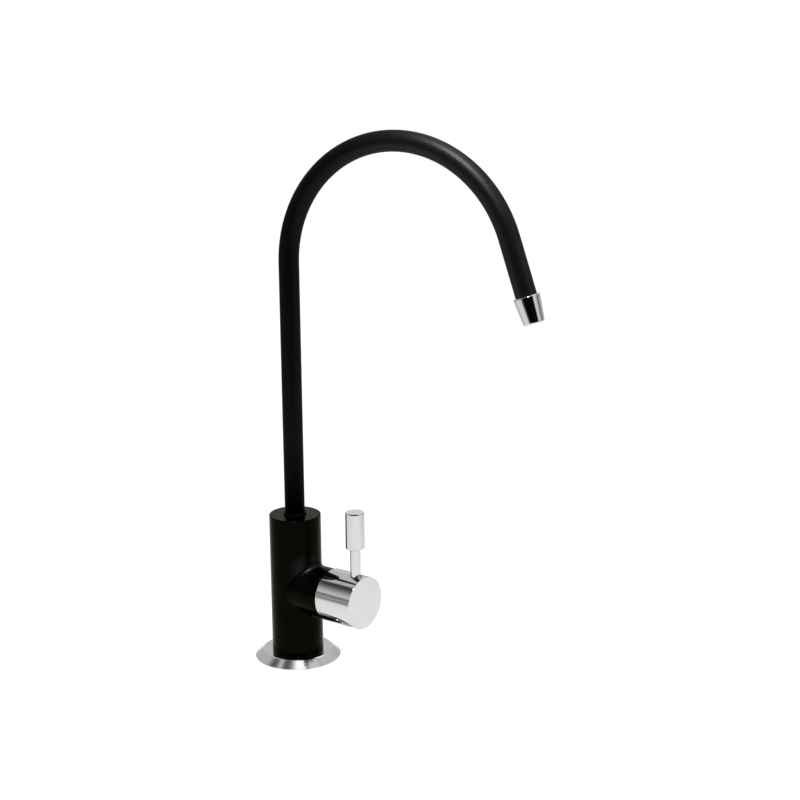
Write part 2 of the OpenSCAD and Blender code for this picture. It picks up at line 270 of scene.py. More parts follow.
def right_of(way):
    """A flat direction turned a quarter to the right."""
    return np.array([way[1], -way[0]])


def turn_by(way, angle):
    """A flat direction turned to the left by an angle."""
    c, s = math.cos(angle), math.sin(angle)
    return np.array([way[0] * c - way[1] * s, way[0] * s + way[1] * c])


def rounded_corner(before, spot, after, radius):
    """Points and normals of the arc that rounds one corner of an outline."""
    way_in, way_out = direction(before, spot), direction(spot, after)
    turn = math.atan2(way_in[0] * way_out[1] - way_in[1] * way_out[0], way_in @ way_out)
    side = math.copysign(radius, turn)
    first = spot - way_in * radius * math.tan(abs(turn) / 2)
    centre = first - side * right_of(way_in)
    normals = [turn_by(right_of(way_in), turn * k / ARC_STEPS) for k in range(ARC_STEPS + 1)]
    return [(centre + side * normal, normal) for normal in normals]


def outline(points, closed=False):
    """Strokes of an outline of (r, height) or (r, height, corner radius) points.

    The material lies on the outline's left. A stroke is its two ends and the normal at each.
    """
    spots = [np.array(point[:2], float) for point in points]
    count = len(spots)
    corners = []
    for i, point in enumerate(points):
        if len(point) == 3:
            corners.append(rounded_corner(spots[i - 1], spots[i], spots[(i + 1) % count], point[2]))
        else:
            corners.append([(spots[i], None)])
    strokes = []
    for i, corner in enumerate(corners):
        strokes += [(a, b, na, nb) for (a, na), (b, nb) in zip(corner, corner[1:])]
        if closed or i < count - 1:
            start, end = corner[-1][0], corners[(i + 1) % count][0][0]
            normal = right_of(direction(start, end))
            strokes.append((start, end, normal, normal))
    return strokes


def turned(shape, strokes, axis, angles=AROUND):
    """Turns the strokes of an outline all the way round an axis."""
    out = axis.out(angles)
    for start, end, start_normal, end_normal in strokes:
        points = [axis.points(r, angles, t) for r, t in (start, end)]
        normals = [out * normal[0] + axis.along * normal[1] for normal in (start_normal, end_normal)]
        shape.grid(points, normals, around=True)


def holed_wall(shape, axis, radius, centre, low, high, hole, middle):
    """Half of a round wall between two heights, with a hole in it. Returns the turns round the hole.

    hole(turns) gives the hole's edge as (angle from the half's centre, height), and middle is the
    height of the hole's centre.
    """
    half = math.pi / 2
    across = np.linspace(half, -half, ACROSS + 1)
    rise = np.linspace(low, high, RISE + 1)
    border = [(half, t) for t in rise[:-1]]
    border += [(angle, high) for angle in across[:-1]]
    border += [(-half, t) for t in rise[:0:-1]]
    border += [(angle, low) for angle in across[:0:-1]]
    border = np.array(border)
    turns = np.arctan2((border[:, 1] - middle) / (high - low), border[:, 0] / math.pi)
    rim = hole(turns)
    rows = [rim + (border - rim) * share for share in np.linspace(0, 1, HOLE_ROWS + 1)]
    points = [axis.points(radius, centre + row[:, 0], row[:, 1]) for row in rows]
    normals = [axis.out(centre + row[:, 0]) for row in rows]
    shape.grid(points, normals, around=True)
    return turns


def plain_wall(shape, axis, radius, start, low, high):
    """Half of a round wall between two heights, with no hole in it."""
    angles = start + np.linspace(0, math.pi, ACROSS + 1)
    rise = np.linspace(low, high, RISE + 1)
    points = [axis.points(radius, angles, t) for t in rise]
    shape.grid(points, [axis.out(angles)] * len(rise))


def threaded(shape, axis, crest, low, high):
    """A wall with a helical thread that fades out at both ends."""
    rows = []
    for t in np.linspace(low, high, int((high - low) / THREAD_PITCH * THREAD_ROWS) + 1):
        phase = (t / THREAD_PITCH - AROUND / (2 * math.pi)) % 1
        flank = np.interp(np.abs(2 * phase - 1), (THREAD_FLAT, 1 - THREAD_FLAT), (0, 1))
        fade = min(1, (t - low) / THREAD_PITCH, (high - t) / THREAD_PITCH)
        rows.append(axis.points(crest - THREAD_DEPTH * fade * flank, AROUND, t))
    shape.grid(rows, around=True)


# Materials
def new_material(name, color, roughness, metallic=0, specular=0.5):
    """A material whose plain values are set on the shader itself."""
    material = bpy.data.materials.new(name)
    material.use_nodes = True
    tree = material.node_tree
    shader = tree.nodes["Principled BSDF"]
    shader.inputs["Base Color"].default_value = (*color, 1)
    shader.inputs["Roughness"].default_value = roughness
    shader.inputs["Metallic"].default_value = metallic
    shader.inputs["Specular IOR Level"].default_value = specular
    return material, tree, shader


def grey(level):
    """A colour without a hue."""
    return (level, level, level)


def feed(tree, value, socket):
    """Links a value to a socket, or sets it there where it is a plain number or a colour."""
    if isinstance(value, (int, float)):
        socket.default_value = value
    elif isinstance(value, tuple):
        socket.default_value = (*value, 1)
    else:
        tree.links.new(value, socket)


def surface_point(tree):
    """Where a point of the surface lies, fixed to the piece."""
    return tree.nodes.new("ShaderNodeTexCoord").outputs["Object"]


def vector_value(tree, operation, vector, other):
    """A number from a vector socket and a fixed vector, such as how far they lie apart."""
    node = tree.nodes.new("ShaderNodeVectorMath")
    node.operation = operation
    node.inputs[1].default_value = other
    tree.links.new(vector, node.inputs[0])
    return node.outputs["Value"]


def components(tree, vector):
    """The X, Y and Z of a vector socket."""
    node = tree.nodes.new("ShaderNodeSeparateXYZ")
    tree.links.new(vector, node.inputs["Vector"])
    return node.outputs


def grain(tree, scale, detail=2, stretch=(1, 1, 1)):
    """Noise fixed to the piece, with features about 1 / scale metres across."""
    mapping = tree.nodes.new("ShaderNodeMapping")
    mapping.inputs["Scale"].default_value = stretch
    noise = tree.nodes.new("ShaderNodeTexNoise")
    noise.inputs["Scale"].default_value = scale
    noise.inputs["Detail"].default_value = detail
    tree.links.new(surface_point(tree), mapping.inputs["Vector"])
    tree.links.new(mapping.outputs["Vector"], noise.inputs["Vector"])
    return noise.outputs["Fac"]


def spread(tree, value, low, high, start=0.3, end=0.7):
    """Goes from low to high as a value goes from start to end; the defaults suit noise."""
    ramp = tree.nodes.new("ShaderNodeMapRange")
    ramp.inputs["From Min"].default_value = start
    ramp.inputs["From Max"].default_value = end
    ramp.inputs["To Min"].default_value = low
    ramp.inputs["To Max"].default_value = high
    tree.links.new(value, ramp.inputs["Value"])
    return ramp.outputs["Result"]


def math_node(tree, operation, first, second):
    """One step of arithmetic on two sockets or plain numbers."""
    node = tree.nodes.new("ShaderNodeMath")
    node.operation = operation
    feed(tree, first, node.inputs[0])
    feed(tree, second, node.inputs[1])
    return node.outputs["Value"]


def blend(tree, share, first, second, data_type="FLOAT"):
    """A number, or an RGBA colour, between two sockets or plain values."""
    node = tree.nodes.new("ShaderNodeMix")
    node.data_type = data_type
    tree.links.new(share, node.inputs["Factor"])
    feed(tree, first, node.inputs["A"])
    feed(tree, second, node.inputs["B"])
    return node.outputs["Result"]


def shades(tree, noise, dark, light):
    """A colour that varies between two shades."""
    return blend(tree, spread(tree, noise, 0, 1), dark, light, "RGBA")


def relief(tree, shader, height, depth, strength):
    """Fine surface relief of the given depth in metres."""
    bump = tree.nodes.new("ShaderNodeBump")
    bump.inputs["Strength"].default_value = strength
    bump.inputs["Distance"].default_value = depth
    tree.links.new(height, bump.inputs["Height"])
    tree.links.new(bump.outputs["Normal"], shader.inputs["Normal"])


# The corner over the boss, and how far from it the painted highlight starts to fade and is gone
CORNER = (13.8 * MM, -6.5 * MM, 57.8 * MM)
PAINTED_HIGHLIGHT_REACH = (3 * MM, 10 * MM)


def satin_coat():
    """Black lacquer with an olive cast and a faint orange peel.

    In the corner over the boss it has a painted highlight, a brighter and rougher reflection that
    stands in for the streak of light on the fillet. It is written as a very dark metal, whose
    specular tint weakens and colours the glancing reflection.
    """
    material, tree, shader = new_material("satin_coat", (0.0033, 0.0034, 0.0024), 0.22, metallic=1)
    shader.inputs["Specular Tint"].default_value = (0.68, 0.665, 0.6, 1)
    from_corner = vector_value(tree, "DISTANCE", surface_point(tree), CORNER)
    corner = spread(tree, from_corner, 1, 0, *PAINTED_HIGHLIGHT_REACH)
    lacquer_color = shades(tree, grain(tree, 90), (0.0029, 0.003, 0.0021), (0.0037, 0.0038, 0.0027))
    # Painted highlight: a brighter reflection colour in the corner over the boss, for the streak of
    # light on the fillet
    painted_highlight = (0.017, 0.0165, 0.0155)
    tree.links.new(blend(tree, corner, lacquer_color, painted_highlight, "RGBA"), shader.inputs["Base Color"])
    smooth, dull = spread(tree, grain(tree, 240, 3), 0.19, 0.25), 0.38
    tree.links.new(blend(tree, corner, smooth, dull), shader.inputs["Roughness"])
    relief(tree, shader, grain(tree, 900), 0.006 * MM, 0.5)
    return material


# Painted sheen and shade on the tube: its reflection colour grows between these places, along X over
# the bend and up Z from the foot, from the given share to the whole
PAINTED_SHEEN_X = (30 * MM, 85 * MM)
UPRIGHT_PAINTED_SHEEN = 0.36
PAINTED_FOOT_SHADE_Z = (92 * MM, 135 * MM)
FOOT_PAINTED_SHADE = 0.04


def textured_coat():
    """Black powder coat with a sandy grain, with painted shade at the tube's foot and a painted sheen
    over its bend.

    It is written as a very dark metal, as the lacquer is.
    """
    material, tree, shader = new_material("textured_coat", grey(0.034), 0.44, metallic=1)
    shader.inputs["Specular Tint"].default_value = (*grey(0.66), 1)
    place = components(tree, surface_point(tree))
    # Painted sheen and shade: the reflection colour is scaled down on the upright run and almost to
    # nothing at the foot
    painted_bend_sheen = spread(tree, place["X"], UPRIGHT_PAINTED_SHEEN, 1, *PAINTED_SHEEN_X)
    painted_foot_shade = spread(tree, place["Z"], FOOT_PAINTED_SHADE, 1, *PAINTED_FOOT_SHADE_Z)
    coat = tree.nodes.new("ShaderNodeVectorMath")
    coat.operation = "SCALE"
    tree.links.new(shades(tree, grain(tree, 2600), grey(0.027), (0.041, 0.041, 0.0415)), coat.inputs[0])
    tree.links.new(math_node(tree, "MULTIPLY", painted_bend_sheen, painted_foot_shade), coat.inputs["Scale"])
    tree.links.new(coat.outputs["Vector"], shader.inputs["Base Color"])
    tree.links.new(spread(tree, grain(tree, 1900), 0.4, 0.48), shader.inputs["Roughness"])
    relief(tree, shader, grain(tree, 1700), 0.16 * MM, 0.6)
    return material


def chrome(name, roughness, unevenness):
    """Chrome plate; roughness gives its two ends, and unevenness is the depth of its slight waves."""
    material, tree, shader = new_material(name, (0.72, 0.725, 0.73), roughness[0], metallic=1)
    plate = shades(tree, grain(tree, 160, 3), (0.705, 0.71, 0.715), (0.73, 0.735, 0.74))
    tree.links.new(plate, shader.inputs["Base Color"])
    tree.links.new(spread(tree, grain(tree, 300, 4), *roughness), shader.inputs["Roughness"])
    relief(tree, shader, grain(tree, 420, 1), unevenness, 0.3)
    return material


TURNED_ROUGHNESS = (0.22, 0.4)


def turned_metal(name, dark, light, stretch):
    """Machined metal; its fine turning marks lie close together along the direction stretched most."""
    material, tree, shader = new_material(name, light, TURNED_ROUGHNESS[0], metallic=1)
    tree.links.new(shades(tree, grain(tree, 180, 4), dark, light), shader.inputs["Base Color"])
    marks = grain(tree, 900, 3, stretch)
    tree.links.new(spread(tree, marks, *TURNED_ROUGHNESS), shader.inputs["Roughness"])
    relief(tree, shader, grain(tree, 2600, 2, stretch), 0.02 * MM, 0.35)
    return material


def moulded(name, dark, light, roughness, scale, depth, specular=0.4):
    """Moulded or sintered stuff with a fine even grain; roughness gives its two ends."""
    material, tree, shader = new_material(name, light, roughness[0], specular=specular)
    tree.links.new(shades(tree, grain(tree, scale / 4, 3), dark, light), shader.inputs["Base Color"])
    tree.links.new(spread(tree, grain(tree, scale / 2, 3), *roughness), shader.inputs["Roughness"])
    relief(tree, shader, grain(tree, scale), depth, 0.4)
    return material


def fibre_sheet():
    """Pressed fibre with flecks lying along the sheet."""
    material, tree, shader = new_material("fibre_sheet", (0.3, 0.07, 0.04), 0.8, specular=0.25)
    flecks = grain(tree, 700, 5, (1, 1, 4))
    color = shades(tree, flecks, (0.17, 0.035, 0.022), (0.36, 0.1, 0.06))
    tree.links.new(color, shader.inputs["Base Color"])
    relief(tree, shader, flecks, 0.06 * MM, 0.6)
    return material


BRASS_DARK, BRASS_LIGHT = (0.58, 0.36, 0.13), (0.78, 0.55, 0.26)
STEEL_DARK, STEEL_LIGHT = (0.42, 0.42, 0.43), (0.6, 0.6, 0.61)
CERAMIC_DARK, CERAMIC_LIGHT = (0.74, 0.72, 0.66), (0.83, 0.81, 0.76)
WHITE_DARK, WHITE_LIGHT = (0.7, 0.7, 0.68), (0.8, 0.8, 0.78)
MARKS_ALONG_X = (6, 0.4, 0.4)
MARKS_ALONG_Z = (0.5, 0.5, 6)

satin = satin_coat()
textured = textured_coat()
mirror_chrome = chrome("mirror_chrome", (0.03, 0.055), 0.004 * MM)
flange_chrome = chrome("flange_chrome", (0.15, 0.17), 0.002 * MM)
brass = turned_metal("brass", BRASS_DARK, BRASS_LIGHT, MARKS_ALONG_X)
nut_brass = turned_metal("nut_brass", BRASS_DARK, BRASS_LIGHT, MARKS_ALONG_Z)
steel = turned_metal("steel", STEEL_DARK, STEEL_LIGHT, MARKS_ALONG_Z)
ceramic = moulded("ceramic", CERAMIC_DARK, CERAMIC_LIGHT, (0.16, 0.3), 3200, 0.004 * MM)
rubber = moulded("rubber", grey(0.01), grey(0.02), (0.6, 0.78), 1800, 0.04 * MM, 0.3)
black_plastic = moulded("black_plastic", grey(0.001), grey(0.002), (0.4, 0.55), 2200, 0.02 * MM, 0.06)
white_plastic = moulded("white_plastic", WHITE_DARK, WHITE_LIGHT, (0.35, 0.5), 2000, 0.01 * MM)
fibre = fibre_sheet()


# Pieces that stand for CAD nodes
def body_casting():
    """Upright body and boss with the fillet between them and the bores that hold the fittings."""
    shape = Shape()
    reach, ball_reach = BOSS_R + FILLET, body_r + FILLET
    low, high = valve_z - reach - WALL_MARGIN, valve_z + reach + WALL_MARGIN

    def fillet_edge(turns):
        angles = np.arcsin(reach / ball_reach * np.cos(turns))
        return np.column_stack([angles, valve_z + reach * np.sin(turns)])

    turns = holed_wall(shape, UPRIGHT, body_r, 0, low, high, fillet_edge, valve_z)
    plain_wall(shape, UPRIGHT, body_r, math.pi / 2, low, high)
    # A ball rolls round the corner: its centre, and where it touches the body and the boss
    ball_y = reach * np.cos(turns)
    ball_x = np.sqrt(ball_reach**2 - ball_y**2)
    ball = VALVE.points(reach, turns, ball_x)
    on_body = np.column_stack([ball_x * body_r / ball_reach, ball_y * body_r / ball_reach, ball[:, 2]])
    on_boss = VALVE.points(BOSS_R, turns, ball_x)
    first, last = (on_body - ball) / FILLET, (on_boss - ball) / FILLET
    opening = np.arccos((first * last).sum(1))[:, None]
    ways = []
    for share in np.linspace(0, 1, FILLET_ROWS + 1):
        way = first * np.sin((1 - share) * opening) + last * np.sin(share * opening)
        ways.append(way / np.sin(opening))
    shape.grid([ball + FILLET * way for way in ways], [-way for way in ways], around=True)
    boss_start = boss_end - 2 * BODY_EDGE
    out = VALVE.out(turns)
    shape.grid([on_boss, VALVE.points(BOSS_R, turns, boss_start)], [out, out], around=True)
    valve_end = [
        (BOSS_R, boss_start), (BOSS_R, boss_end, BODY_EDGE), (MOUTH_R, boss_end, MOUTH_EDGE),
        (MOUTH_R, SHOULDER_X), (CHAMBER_R, SHOULDER_X), (CHAMBER_R, SEAT_X), (0, SEAT_X),
    ]
    turned(shape, outline(valve_end), VALVE, turns)
    top = [
        (body_r, high), (body_r, body_top, BODY_EDGE), (BUSH_SEAT_R, body_top, BUSH_SEAT_EDGE),
        (BUSH_SEAT_R, bush_foot), (SOCKET_R, bush_foot), (SOCKET_R, SOCKET_Z), (0, SOCKET_Z),
    ]
    turned(shape, outline(top), UPRIGHT)
    foot = [
        (0, SHANK_SOCKET_Z), (SHANK_SOCKET_R, SHANK_SOCKET_Z), (SHANK_SOCKET_R, body_low.z),
        (SPIGOT_R, body_low.z), (SPIGOT_R, flange_high.z), (body_r, flange_high.z, FOOT_EDGE),
        (body_r, low),
    ]
    turned(shape, outline(foot), UPRIGHT)
    shape.piece("body_casting", satin, "tap", "coat_satin", "body")


def flange_cover():
    """Chrome cover ring: a flat shelf and a bevel down to a thin rim, with a recess for the gasket."""
    shape = Shape()
    r = flange_high.x
    ring = [
        (RECESS_R, flange_low.z), (r, flange_low.z, FLANGE_EDGE), (r, flange_low.z + FLANGE_RIM),
        (SHELF_R, flange_high.z, SHELF_ROLL), (FLANGE_BORE_R, flange_high.z),
        (FLANGE_BORE_R, gasket_top), (RECESS_R, gasket_top),
    ]
    turned(shape, outline(ring, closed=True), UPRIGHT)
    shape.piece("flange_cover", flange_chrome, "tap", "chrome", "base_flange")


def plain_ring(name, material, body, slot, node, bore_r, edge):
    """A ring with rounded edges in the place of a CAD node."""
    low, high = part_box(node)
    shape = Shape()
    ring = [
        (bore_r, low.z, edge), (high.x, low.z, edge), (high.x, high.z, edge), (bore_r, high.z, edge),
    ]
    turned(shape, outline(ring, closed=True), UPRIGHT)
    shape.piece(name, material, body, slot, node)


def knob_shell():
    """Chrome knob with the countersunk hole for the lever and the grub screw's hole underneath."""
    shape = Shape()
    low, high = HUB_END - WALL_LEAD, knob_high.x - 2 * KNOB_EDGE

    def hole_top(radius, turns):
        """How far from the valve axis a hole of this radius meets the knob's round side."""
        return np.sqrt(knob_r**2 - (radius * np.cos(turns)) ** 2)

    def hole_edge(radius, turns, middle):
        """The hole's edge on the round side, as (angle, place along the valve axis)."""
        angles = np.arcsin(radius * np.cos(turns) / knob_r)
        return np.column_stack([angles, middle + radius * np.sin(turns)])

    def sink_radius(turns):
        """The countersink's radius where it meets the round side, closed in on by repeated passes."""
        radius = np.full(len(turns), NECK_R)
        for _ in range(SINK_PASSES):
            radius = STUD_HOLE_R + SINK_FLARE * (hole_top(radius, turns) - SINK_LOW)
        return radius

    def sink_edge(turns):
        return hole_edge(sink_radius(turns), turns, lever_x)

    def grub_edge(turns):
        return hole_edge(GRUB_HOLE_R, turns, grub_x)

    turns = holed_wall(shape, VALVE, knob_r, math.pi / 2, low, high, sink_edge, lever_x)
    radius = sink_radius(turns)
    slope = (-LEVER.out(turns) + SINK_FLARE * Z) / math.hypot(1, SINK_FLARE)
    sink = [
        LEVER.points(radius, turns, hole_top(radius, turns)),
        LEVER.points(STUD_HOLE_R, turns, SINK_LOW),
    ]
    shape.grid(sink, [slope, slope], around=True)
    stud_hole = [(STUD_HOLE_R, SINK_LOW), (STUD_HOLE_R, STUD_HOLE_LOW), (0, STUD_HOLE_LOW)]
    turned(shape, outline(stud_hole), LEVER, turns)
    turns = holed_wall(shape, VALVE, knob_r, -math.pi / 2, low, high, grub_edge, grub_x)
    wall_ends = (hole_top(GRUB_HOLE_R, turns), SPINDLE_SOCKET_R)
    wall = [GRUB.points(GRUB_HOLE_R, turns, t) for t in wall_ends]
    shape.grid(wall, [-GRUB.out(turns)] * 2, around=True)
    turned(shape, outline([(GRUB_HOLE_R, SPINDLE_SOCKET_R), (0, SPINDLE_SOCKET_R)]), GRUB, turns)
    cap = [(knob_r, high), (knob_r, knob_high.x, KNOB_EDGE), (0, knob_high.x)]
    turned(shape, outline(cap), VALVE)
    back = [
        (0, SPINDLE_SOCKET_END), (SPINDLE_SOCKET_R, SPINDLE_SOCKET_END), (SPINDLE_SOCKET_R, CAVITY_END),
        (HUB_R, CAVITY_END), (HUB_R, HUB_END), (CAVITY_R, HUB_END), (CAVITY_R, knob_low.x, CAVITY_EDGE),
        (knob_r, knob_low.x, KNOB_BACK_EDGE), (knob_r, low),
    ]
    turned(shape, outline(back), VALVE)
    shape.piece("knob_shell", mirror_chrome, "handle", "chrome", "knob")


def lever_rod():
    """Chrome lever: plain stud, slim neck and a thicker grip with chamfered ends."""
    shape = Shape()
    low, high = lever_low.z - valve_z, lever_high.z - valve_z
    grip_low = high - GRIP_L
    rod = [
        (0, low), (STUD_R, low, STUD_EDGE), (STUD_R, LEVER_SEAT), (NECK_R, LEVER_SEAT, NECK_EDGE),
        (NECK_R, grip_low, NECK_FILLET), (grip_r - GRIP_CHAMFER, grip_low, GRIP_EDGE),
        (grip_r, grip_low + GRIP_CHAMFER, GRIP_EDGE), (grip_r, high - GRIP_TOP_DOWN, GRIP_EDGE),
        (grip_r - GRIP_TOP_IN, high), (0, high),
    ]
    turned(shape, outline(rod), LEVER)
    shape.piece("lever_rod", mirror_chrome, "handle", "chrome", "lever")


HEADING = X * math.cos(SPOUT_TURN) + Y * math.sin(SPOUT_TURN)
SIDEWAYS = Y * math.cos(SPOUT_TURN) - X * math.sin(SPOUT_TURN)


def bend_axis(angle, slide=0):
    """The tube's own axis at an angle along its bend, moved along the tube by slide."""
    along = HEADING * math.sin(angle) + Z * math.cos(angle)
    outward = Z * math.sin(angle) - HEADING * math.cos(angle)
    centre = HEADING * BEND_R * (1 - math.cos(angle)) + Z * (BEND_Z + BEND_R * math.sin(angle))
    return Axis(centre + along * slide, outward, SIDEWAYS, along)


def spout_pipe():
    """Swan neck tube: an upright run, the bend and a short straight end."""
    shape = Shape()
    stations = [bend_axis(0, bush_foot - BEND_Z)]
    stations += [bend_axis(angle) for angle in np.linspace(0, BEND_A, BEND_ROWS + 1)]
    stations += [bend_axis(BEND_A, END_L + TIP_SOCKET)]
    outside = [axis.out(AROUND) for axis in stations]
    shape.grid([axis.points(TUBE_R, AROUND, 0) for axis in stations], outside, around=True)
    inside = [-out for out in outside]
    shape.grid([axis.points(TUBE_BORE_R, AROUND, 0) for axis in stations], inside, around=True)
    turned(shape, outline([(TUBE_BORE_R, 0), (TUBE_R, 0)]), stations[0])
    turned(shape, outline([(TUBE_R, 0), (TUBE_BORE_R, 0)]), stations[-1])
    shape.piece("spout_pipe", textured, "spout", "coat_textured", "spout_tube")


def outlet_nozzle():
    """Chrome nozzle: a cone with a flat ring on top and a rounded lip."""
    shape = Shape()
    nozzle = [
        (TIP_BORE_R, 0), (TIP_R, 0, TIP_EDGE), (LIP_R, TIP_L, LIP_EDGE), (OUTLET_R, TIP_L, OUTLET_EDGE),
        (OUTLET_R, TIP_SEAT_END), (TIP_SEAT_R, TIP_SEAT_END), (TIP_SEAT_R, TIP_SEAT),
        (TIP_BORE_R, TIP_SEAT),
    ]
    turned(shape, outline(nozzle, closed=True), bend_axis(BEND_A, END_L))
    shape.piece("outlet_nozzle", mirror_chrome, "spout", "chrome", "outlet_tip")


def shank_stud():
    """Hollow fixing stud with a cut thread above and below the relief groove."""
    shape = Shape()
    upper_low, upper_high = RELIEF_HIGH + THREAD_RUNOUT, -REGISTER_L - THREAD_RUNOUT
    lower_low, lower_high = shank_low.z + 2 * THREAD_RUNOUT, RELIEF_LOW - THREAD_RUNOUT
    ends = [
        (SHANK_R, upper_high), (SHANK_R, -REGISTER_L), (REGISTER_R, -REGISTER_L, REGISTER_EDGE),
        (REGISTER_R, 0, REGISTER_EDGE), (SHANK_TOP_R, 0), (SHANK_TOP_R, shank_high.z, SHANK_TOP_EDGE),
        (SHANK_BORE_R, shank_high.z, SHANK_BORE_EDGE), (SHANK_BORE_R, shank_low.z, SHANK_BORE_EDGE),
        (SHANK_R - THREAD_RUNOUT, shank_low.z), (SHANK_R, shank_low.z + THREAD_RUNOUT),
        (SHANK_R, lower_low),
    ]
    turned(shape, outline(ends), UPRIGHT)
    groove = [
        (SHANK_R, lower_high), (SHANK_R, RELIEF_LOW, RELIEF_EDGE),
        (RELIEF_R, RELIEF_LOW, RELIEF_CORNER), (RELIEF_R, RELIEF_HIGH, RELIEF_CORNER),
        (SHANK_R, RELIEF_HIGH, RELIEF_EDGE), (SHANK_R, upper_low),
    ]
    turned(shape, outline(groove), UPRIGHT)
    threaded(shape, UPRIGHT, SHANK_R, lower_low, lower_high)
    threaded(shape, UPRIGHT, SHANK_R, upper_low, upper_high)
    shape.piece("shank_stud", steel, "tap", "steel", "shank")


def hex_nut():
    """Brass fixing nut with its corners turned off at both ends."""
    shape = Shape()
    side = math.pi / 3
    flats = NUT_APOTHEM / np.cos(AROUND % side - side / 2)
    corner = NUT_APOTHEM / math.cos(side / 2)
    slope = math.tan(NUT_SLANT)
    rises = np.linspace(0, (corner - NUT_APOTHEM) * slope, SLANT_ROWS + 1)
    heights = np.concatenate([nut_low.z + rises, nut_high.z - rises[::-1]])
    rows = []
    for t in heights:
        from_face = min(t - nut_low.z, nut_high.z - t)
        reach = np.minimum(flats, NUT_APOTHEM + from_face / slope)
        rows.append(UPRIGHT.points(reach, AROUND, t))
    shape.grid(rows, around=True)
    edge = NUT_BORE_EDGE
    bore = [
        (NUT_APOTHEM, nut_high.z), (NUT_BORE_R + edge, nut_high.z), (NUT_BORE_R, nut_high.z - edge),
        (NUT_BORE_R, nut_low.z + edge), (NUT_BORE_R + edge, nut_low.z), (NUT_APOTHEM, nut_low.z),
    ]
    turned(shape, outline(bore), UPRIGHT)
    shape.piece("hex_nut", nut_brass, "fixing_set", "brass", "fixing_nut")


body_casting()
flange_cover()
plain_ring("gasket_ring", rubber, "tap", "rubber", "base_gasket", GASKET_BORE_R, GASKET_EDGE)
plain_ring("bush_ring", black_plastic, "tap", "plastic_black", "spout_bush", BUSH_BORE_R, BUSH_EDGE)
knob_shell()
lever_rod()
spout_pipe()
outlet_nozzle()
shank_stud()
plain_ring("rubber_ring", rubber, "fixing_set", "rubber", "rubber_washer", WASHER_BORE_R, RUBBER_EDGE)
plain_ring("steel_ring", steel, "fixing_set", "steel", "steel_washer", WASHER_BORE_R, STEEL_EDGE)
hex_nut()

# Inner pieces keep their solids and take a finish
inner_finish = {
    "shank_seal": fibre,
    "cartridge_housing": brass,
    "cartridge_o_ring": rubber,
    "seat_seal": rubber,
    "fixed_disc": ceramic,
    "retaining_nut": brass,
    "moving_disc": ceramic,
    "spindle": brass,
    "spindle_o_rings": rubber,
    "spindle_clip": steel,
    "grub_screw": steel,
    "spout_clip": steel,
    "spout_stub": nut_brass,
    "spout_o_rings": rubber,
    "tip_o_ring": rubber,
    "flow_straightener": white_plastic,
}
for name, material in inner_finish.items():
    for material_slot in nodes[name].material_slots:
        material_slot.material = material

# Camera
CAMERA_AZIMUTH = math.radians(41.76)
CAMERA_DISTANCE = 878.05 * MM
CAMERA_HEIGHT = 370.7 * MM
CAMERA_PITCH = math.radians(13.85)
CAMERA_YAW = math.radians(4.02)
CAMERA_ROLL = math.radians(-0.44)
CAMERA_LENS = 71.115
CAMERA_SENSOR = 36

toward_camera = Vector((math.sin(CAMERA_AZIMUTH), -math.cos(CAMERA_AZIMUTH), 0))
camera_data = bpy.data.cameras.new("photo_camera")
camera_data.lens = CAMERA_LENS
camera_data.sensor_width = CAMERA_SENSOR
camera = bpy.data.objects.new("photo_camera", camera_data)
facing = Matrix.Rotation(CAMERA_AZIMUTH - CAMERA_YAW, 4, "Z")
tilt = Matrix.Rotation(math.pi / 2 - CAMERA_PITCH, 4, "X")
roll = Matrix.Rotation(CAMERA_ROLL, 4, "Z")
place = Matrix.Translation(toward_camera * CAMERA_DISTANCE + Vector((0, 0, CAMERA_HEIGHT)))
camera.matrix_world = place @ facing @ tilt @ roll
bpy.context.scene.collection.objects.link(camera)
bpy.context.scene.camera = camera

# Studio: pale floor, white surroundings, a soft lamp overhead and a dark room behind the camera
FLOOR_HALF = 4
FLOOR_Z = -0.1 * MM
FLOOR_COLOR = 0.2
FLOOR_GLOW = 0.945
FRONT = CAMERA_AZIMUTH - math.pi / 2
LEFT = math.radians(-150)
BRIGHT_SPOT = (0.12, -0.12, 0)
WORLD_LIGHT = 0.3
LAMP_PLACE = Vector((0.552, -0.736, 1.984))
LAMP_AIM = Vector((0.05, 0, 0.18))
LAMP_SIZE = 0.36
LAMP_POWER = 37

# The floor as polish mirrors it: (metres, brightness), counted towards the front, towards the left
# and away from the bright spot
FLOOR_REACH = (0, 2)
FLOOR_FRONT = [(0, 1), (0.37, 1), (0.47, 0.36), (0.6, 0.06), (0.8, 0.004)]
FLOOR_LEFT = [(0, 1), (0.29, 0.87), (0.33, 0.73), (0.4, 0.58), (0.75, 0.44), (2, 0.33)]
FLOOR_FAR = [
    (0, 1), (0.22, 1), (0.3, 0.88), (0.36, 0.83), (0.42, 0.78), (0.48, 0.7), (0.7, 0.62), (2, 0.54),
]

# The room as polish mirrors it: (heading in degrees, brightness) low down and high up
HEADINGS = (-180, 180)
ROOM_LOW = [
    (-180, 0.54), (-104, 0.53), (-94, 0.004), (-7, 0.004), (2, 0.8), (22, 0.72), (34, 0.35),
    (42, 0.19), (54, 0.22), (64, 0.55), (180, 0.54),
]
ROOM_HIGH = [
    (-180, 0.56), (-112, 0.4), (-98, 0.02), (-12, 0.02), (4, 0.62), (130, 0.62), (180, 0.56),
]

